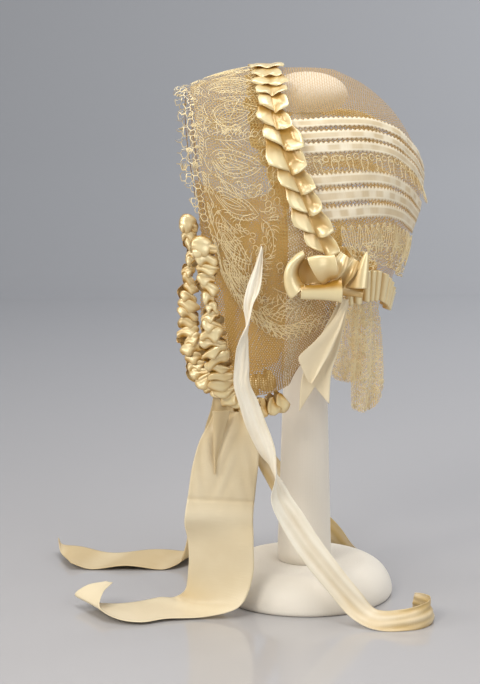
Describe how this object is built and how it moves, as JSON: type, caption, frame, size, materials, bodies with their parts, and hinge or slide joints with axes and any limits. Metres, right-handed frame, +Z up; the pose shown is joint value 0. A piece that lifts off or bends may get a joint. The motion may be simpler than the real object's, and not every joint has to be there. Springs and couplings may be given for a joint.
{
  "type": "bonnet on a stand",
  "caption": "Ladies' lace and satin-ribbon bonnet with long ties, open at the face and below, shown on a plain round cloth-covered post stand.",
  "frame": {"origin": "centre of the flat underside of the stand's base, on the surface it rests on", "axes": "+Z up the post; the bonnet's face opening looks along -Y; +X is the wearer's left"},
  "size_m": [0.2313, 0.3012, 0.4186],
  "materials": {
    "white_cloth": "matte, close-woven",
    "silk_net": "sheer hexagonal net",
    "blonde_lace": "silk lace on net",
    "satin_ribbon": "satin",
    "silk_tie": "soft silk ribbon",
    "stiff_net": "coarse stiff net",
    "bound_wire": "thread-bound wire"
  },
  "bodies": {
    "root": {"stand_base": "white_cloth", "stand_post": "white_cloth", "stand_pad": "white_cloth", "brim": "silk_net", "crown": "silk_net", "brim_lace": "blonde_lace", "crown_lace_insert": "blonde_lace", "crown_lace_frill": "blonde_lace", "lappet_left": "blonde_lace", "lappet_right": "blonde_lace", "crown_ribbon_1": "satin_ribbon", "crown_ribbon_2": "satin_ribbon", "crown_ribbon_3": "satin_ribbon", "crown_ribbon_4": "satin_ribbon", "crown_ribbon_5": "satin_ribbon", "crown_ribbon_6": "satin_ribbon", "ruched_band": "satin_ribbon", "nape_ribbon": "satin_ribbon", "cheek_ruche_left": "satin_ribbon", "cheek_ruche_right": "satin_ribbon", "bow_loop_front_left": "satin_ribbon", "bow_loop_front_right": "satin_ribbon", "bow_loop_back_left": "satin_ribbon", "bow_loop_back_right": "satin_ribbon", "bow_knot_left": "satin_ribbon", "bow_knot_right": "satin_ribbon", "bow_tail_long_left": "satin_ribbon", "bow_tail_long_right": "satin_ribbon", "bow_tail_short_left": "satin_ribbon", "bow_tail_short_right": "satin_ribbon", "chin_tie_left": "silk_tie", "chin_tie_right": "silk_tie", "streamer_left": "silk_tie", "streamer_right": "silk_tie", "stay_left": "stiff_net", "stay_right": "stiff_net", "brim_wire": "bound_wire"}
  },
  "joints": []
}
